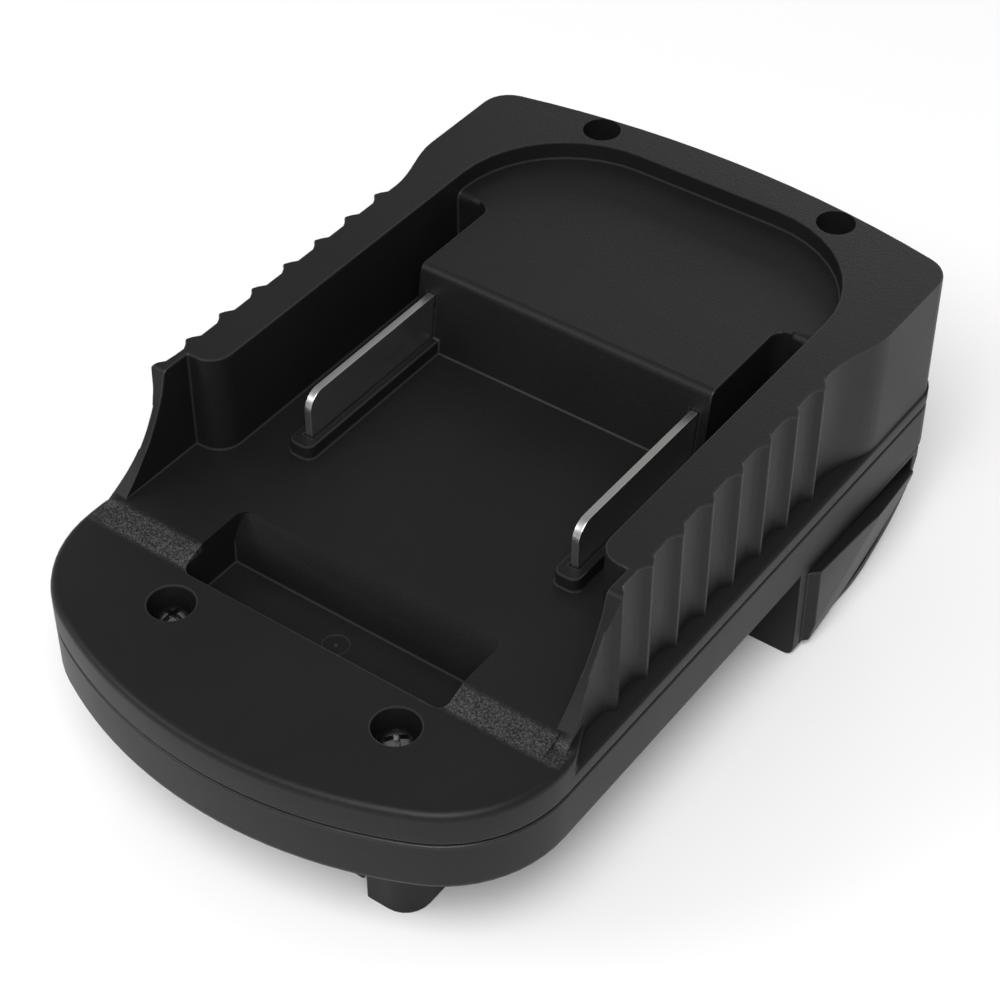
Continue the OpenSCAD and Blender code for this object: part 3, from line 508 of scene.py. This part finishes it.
def rolled_thread(mesh, centre, axis, root, crest, low, high, pitch):
    turns, foot = (high - low) / pitch, THREAD_FOOT * pitch
    profile = ((root, low - foot), (crest, low), (root, low + foot))
    dots = [mesh.verts.new(centre + Vector((r, 0, 0)) * MM + axis * h * MM) for r, h in profile]
    flank = [mesh.edges.new(pair) for pair in zip(dots, dots[1:] + dots[:1])]
    end = bmesh.ops.spin(mesh, geom=dots + flank, cent=centre, axis=axis,
                         dvec=axis * pitch * MM / THREAD_STEPS, angle=2 * pi * turns,
                         steps=round(THREAD_STEPS * turns))["geom_last"]
    for loop in (flank, only(bmesh.types.BMEdge, end)):
        bmesh.ops.edgeloop_fill(mesh, edges=loop)


print("a thread has", THREAD_STEPS, "steps in one turn")

# %% [markdown]
# ## Cross recess
# A punch presses the cross into the head while the screw is formed. Cutting planes print the outline
# of the cross on the dome, the faces inside it are pushed down, and the floor is drawn in towards the
# middle, because a punch needs taper to come out again.

# %% Cross recess
ARM, SLOT = 0.31, 0.075             # half length and half width, as shares of the head's width
CROSS_DEPTH, TAPER = 0.55, 0.25     # depth as a share of the head's height
DOME_FROM = 0.4                     # the cap begins at this share of the head's height


def pressed_cross(mesh, centre, axis, width, height, turn):
    arm, slot = ARM * width, SLOT * width
    spin = Matrix.Rotation(radians(turn), 3, "Z")
    cap = [f for f in mesh.faces
           if (f.calc_center_median() - centre).dot(axis) > DOME_FROM * height]
    for reach in (arm, slot):
        for way in ((1, 0, 0), (-1, 0, 0), (0, 1, 0), (0, -1, 0)):
            way = spin @ Vector(way)
            parts = dict.fromkeys(p for f in cap for p in (f, *f.edges, *f.verts))
            cut = bmesh.ops.bisect_plane(mesh, geom=list(parts), dist=1e-7,
                                         plane_co=centre + way * reach, plane_no=way)["geom"]
            cap = only(bmesh.types.BMFace, cut)
    cross = []
    for face in cap:
        place = spin.inverted() @ (face.calc_center_median() - centre)
        near, far = sorted((abs(place.x), abs(place.y)))
        if near < slot and far < arm:
            cross.append(face)
    sunk = only(bmesh.types.BMVert, bmesh.ops.extrude_face_region(mesh, geom=cross)["geom"])
    bmesh.ops.delete(mesh, geom=[f for f in cross if f.is_valid], context="FACES")
    bmesh.ops.translate(mesh, vec=-CROSS_DEPTH * height * axis, verts=sunk)
    for dot in sunk:
        dot.co = dot.co + TAPER * (centre + axis * (dot.co - centre).dot(axis) - dot.co)


print("the cross spans %.0f %% of a head" % (200 * ARM))

# %% [markdown]
# ## Screws
# Eight pan heads hold the adapter together: two blackened ones at each end of the case, and two small
# plated ones each on the bracket and the retainer. The box of the CAD node gives the head's width and
# the shank's length. The head's height is given, and its sign says whether the head is up or down.

# %% Turn the screws
CORE, CREST, PITCH = 0.2, 0.275, 0.22       # thread, as shares of the head's width
POINT, BARE_TIP, BARE_NECK = 1.2, 1.0, 0.6  # mm of taper, and mm without thread at both ends
RIM = 0.35                                  # upright share of the head's height
DOME_STEPS, SPIN_STEPS = 10, 32


def screw(name, node, finish, side, head, turn=20):
    low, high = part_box(node)
    width = high.y - low.y
    up = head > 0
    seat = (high.z if up else low.z) - head * MM
    axis = Vector((0, 0, 1 if up else -1))
    centre = Vector((side * (high.x - width / 2), (low.y + high.y) / 2, seat))
    r, h, shank = width / 2 / MM, abs(head), (seat - low.z if up else high.z - seat) / MM
    core, crest, pitch = [share * width / MM for share in (CORE, CREST, PITCH)]
    angles = [pi / 2 * k / DOME_STEPS for k in range(DOME_STEPS)]
    dome = [(r * cos(t), RIM * h + (1 - RIM) * h * sin(t)) for t in angles] + [(0, h)]
    stem = [(0, -shank), (0.5 * core, -shank), (core, POINT - shank), (core, 0), (0.97 * r, 0)]
    mesh = bmesh.new()
    turned(mesh, centre, axis, stem + dome, SPIN_STEPS)
    bmesh.ops.remove_doubles(mesh, verts=mesh.verts, dist=WELD)
    pressed_cross(mesh, centre, axis, width, h * MM, turn)
    rolled_thread(mesh, centre, axis, 0.9 * core, crest, BARE_TIP - shank, -BARE_NECK, pitch)
    bmesh.ops.recalc_face_normals(mesh, faces=mesh.faces)
    print(name, "faces:", len(mesh.faces))
    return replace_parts(finished(mesh, name, finish), node)


for label, side in (("left", -1), ("right", 1)):
    screw("front_screw_" + label, "front_screws", case_screw_steel, side, 1.9, 20 + 25 * side)
    screw("rear_screw_" + label, "rear_screws", case_screw_steel, side, 1.9, 10 - 20 * side)
    screw("bracket_screw_" + label, "bracket_screws", small_screw_steel, side, 1.5)
    screw("retainer_screw_" + label, "retainer_screws", small_screw_steel, side, -1.5)

# %% [markdown]
# ## Springs
# Each button is pushed out by a compression spring of drawn wire with closed ends: the first and the
# last turn lie almost flat so that the spring stands square on its seat. A wire circle spun about the
# spring's axis with a rise at each step winds it, slowly at both ends and faster between them. The
# springs stand for CAD helices that flatten with the button, and each one gets a mesh of its own.

# %% Wind the springs
WIRE, TURNS, TURN_STEPS, WIRE_SIDES = 0.8 * MM, 7, 28, 10
CLOSED_PITCH = 1.05 * WIRE


def welded(mesh):
    bmesh.ops.remove_doubles(mesh, verts=mesh.verts, dist=WELD)
    bmesh.ops.recalc_face_normals(mesh, faces=mesh.faces)


def spring(label):
    node = "button_spring_" + label
    low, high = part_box(node)
    axis = Vector((1, 0, 0))
    centre = Vector((low.x + WIRE / 2, (low.y + high.y) / 2, (low.z + high.z) / 2))
    radius = (high.y - low.y - WIRE) / 2
    open_pitch = (high.x - low.x - WIRE - 2 * CLOSED_PITCH) / (TURNS - 2)
    mesh = bmesh.new()
    ring = bmesh.ops.create_circle(
        mesh, segments=WIRE_SIDES, radius=WIRE / 2,
        matrix=Matrix.Translation(centre + Vector((0, radius, 0))))["verts"]
    first = list(dict.fromkeys(e for v in ring for e in v.link_edges))
    end = ring + first
    for pitch, count in ((CLOSED_PITCH, 1), (open_pitch, TURNS - 2), (CLOSED_PITCH, 1)):
        end = bmesh.ops.spin(mesh, geom=end, cent=centre, axis=axis,
                             dvec=axis * pitch / TURN_STEPS, angle=2 * pi * count,
                             steps=TURN_STEPS * count)["geom_last"]
    for loop in (first, only(bmesh.types.BMEdge, end)):
        bmesh.ops.edgeloop_fill(mesh, edges=loop)
    welded(mesh)
    print(node, "pitch %.2f mm" % (open_pitch / MM), "faces:", len(mesh.faces))
    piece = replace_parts(finished(mesh, label + "_spring", spring_steel), node)
    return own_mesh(piece)


spring("left")
spring("right")

# %% [markdown]
# ## Rubber
# Silicone insulation and shrink sleeve are soft and slightly dusty: a pale film in patches and a
# fine skin in the bump. The wires are red for plus and black for minus, as in most battery tools.

# %% Rubber finishes
def soft_rubber(slot, tone, gloss):
    finish, place, feed = new_finish(slot, specular=0.35)
    skin = place.noise(1800.0, detail=2.0)
    dust = place.noise(260.0, detail=4.0, roughness=0.7)
    pale = [1.6 * c + 0.03 for c in tone]
    feed("Base Color", dust.between(0.45, 0.8).blend((*tone, 1), (*pale, 1)))
    feed("Roughness", gloss + 0.15 * dust)
    feed("Normal", skin.bump(strength=0.2, distance=0.00003))
    return finish


sleeve_rubber = soft_rubber("sleeve_rubber", (0.016, 0.016, 0.017), 0.45)
lead_black = soft_rubber("lead_black", (0.014, 0.014, 0.015), 0.38)
lead_red = soft_rubber("lead_red", (0.42, 0.03, 0.025), 0.38)
print("rubbers:", sleeve_rubber.name, lead_black.name, lead_red.name)

# %% [markdown]
# ## Leads and sleeves
# Two silicone wires join the blades' tails to the clips in the head, and a shrink sleeve covers each
# soldered end. A Bezier curve with a round bevel is the natural model of a wire: its handles give the
# bend that the stiff insulation takes. It becomes a mesh before it gets its finish. A sleeve is a
# spun ring with rolled ends.

# %% Draw the leads
TAIL, CLIP = (20.05, -5.7, 22.1), (10.0, -28.0, 5.95)      # mm, ends of the right lead
RUN, PULL = 6.0, 9.0        # mm of straight wire at each end, and how far a bend reaches
LEAD_RADIUS = 1.2 * MM
SLEEVE_OUTLINE = ((1.35, 0.1), (1.45, 0), (1.6, 0), (1.7, 0.12), (1.7, 4.88),
                  (1.6, 5), (1.45, 5), (1.35, 4.9), (1.35, 0.1))


def lead_curve(side, label):
    curve = bpy.data.curves.new(label + "_lead", "CURVE")
    curve.dimensions = "3D"
    curve.bevel_depth, curve.bevel_resolution = LEAD_RADIUS, 6
    curve.resolution_u = 24
    curve.use_fill_caps = True
    line = curve.splines.new("BEZIER")
    line.bezier_points.add(3)
    route = ((TAIL, 0, RUN / 3), (TAIL, -RUN, PULL), (CLIP, RUN, PULL), (CLIP, 0, RUN / 3))
    for point, ((x, y, z), shift, reach) in zip(line.bezier_points, route):
        point.co = Vector((side * x, y + shift, z)) * MM
        point.handle_left_type = point.handle_right_type = "FREE"
        point.handle_left = point.co + Vector((0, reach, 0)) * MM
        point.handle_right = point.co - Vector((0, reach, 0)) * MM
    return curve


def lead(side, label, finish):
    holder = placed("route", lead_curve(side, label))
    depsgraph = bpy.context.evaluated_depsgraph_get()
    mesh = bmesh.new()
    mesh.from_mesh(bpy.data.meshes.new_from_object(holder.evaluated_get(depsgraph)))
    bpy.data.objects.remove(holder)
    welded(mesh)
    print(label, "lead faces:", len(mesh.faces))
    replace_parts(finished(mesh, label + "_lead", finish), "lead_" + label)


def sleeves(side, label):
    for end, (x, y, z), way in (("blade", TAIL, -1), ("clip", CLIP, 1)):
        ring = bmesh.new()
        turned(ring, Vector((side * x, y, z)) * MM, Vector((0, way, 0)), SLEEVE_OUTLINE, steps=28)
        welded(ring)
        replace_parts(finished(ring, label + "_" + end + "_sleeve", sleeve_rubber),
                    "sleeves_" + label)


for side, label, finish in ((-1, "left", lead_black), (1, "right", lead_red)):
    lead(side, label, finish)
    sleeves(side, label)

# %% [markdown]
# ## Mark of an ejector pin
# A round pin pushes the moulding out of its mould and leaves a faint ring with a dot on the floor of
# the latch pocket. It is a spun bead no higher than a sheet of card, sunk slightly into the floor,
# and all of its faces carry the `edge` layer, so it is painted lighter all over: a painted highlight.

# %% Pin mark
POCKET_FLOOR = 23.0     # mm
DOT_OUTLINE = ((0, 0.14), (0.25, 0.12), (0.4, -0.05), (0, -0.05))
RING_OUTLINE = ((1.7, -0.05), (1.8, 0.1), (1.95, 0.1), (2.05, -0.05), (1.7, -0.05))

mark = bmesh.new()
spot = Vector((-0.5, -34.0, POCKET_FLOOR)) * MM
for outline in (DOT_OUTLINE, RING_OUTLINE):
    turned(mark, spot, Vector((0, 0, 1)), outline, steps=40)
welded(mark)
# The whole mark is painted lighter and made smoother: a painted highlight.
stain_and_highlight = mark.faces.layers.float.new("edge")
for face in mark.faces:
    face[stain_and_highlight] = 1.0
finished(mark, "pocket_pin_mark", shell_plastic)
print("pin mark at", [round(c / MM, 1) for c in spot])

# %% [markdown]
# ## Floor
# The photograph is cut out on white, so the adapter stands on a wide sheet of pale paper. The paper
# also throws light back on to the sides and into the gap under the head.

# %% Floor
FLOOR_SIZE = 1.5        # metres from the middle to each side

ground = bmesh.new()
bmesh.ops.create_grid(ground, x_segments=2, y_segments=2, size=FLOOR_SIZE)
floor_data = bpy.data.meshes.new("floor")
ground.to_mesh(floor_data)
ground.free()
paper, _, feed = new_finish("floor_paper", specular=0.2)
feed("Base Color", grey(0.86))
feed("Roughness", 0.9)
floor_data.materials.append(paper)
floor = placed("floor", floor_data)
print("floor of", paper.name)

# %% [markdown]
# ## Light
# The photograph was lit softly from the front. A broad lamp high in front does most of the work, a
# weaker one at the left fills the shadows, and a low one behind draws thin bright lines on the rear
# edges. A dim white world fills the rest, and the Standard view leaves the black plastic black.

# %% Lamps
def soft_lamp(name, place, size, power):
    lamp = placed(name, bpy.data.lights.new(name, "AREA"))
    aimed(lamp, Vector(place), aim)
    lamp.data.shape = "RECTANGLE"
    lamp.data.size, lamp.data.size_y = size
    lamp.data.energy = power
    print(name, "%g W" % power)


soft_lamp("front_lamp", (0.35, -0.65, 1.05), (0.8, 0.8), 16)
soft_lamp("front_left_lamp", (-0.8, -0.7, 0.7), (0.6, 0.4), 4)
soft_lamp("back_lamp", (-0.3, 1.3, 0.3), (0.8, 0.3), 4)
world = bpy.data.worlds.new("studio")
bpy.context.scene.world = world
world.use_nodes = True
sky = world.node_tree.nodes["Background"].inputs
sky["Color"].default_value = grey(1)
sky["Strength"].default_value = 0.4
bpy.context.scene.view_settings.view_transform = "Standard"
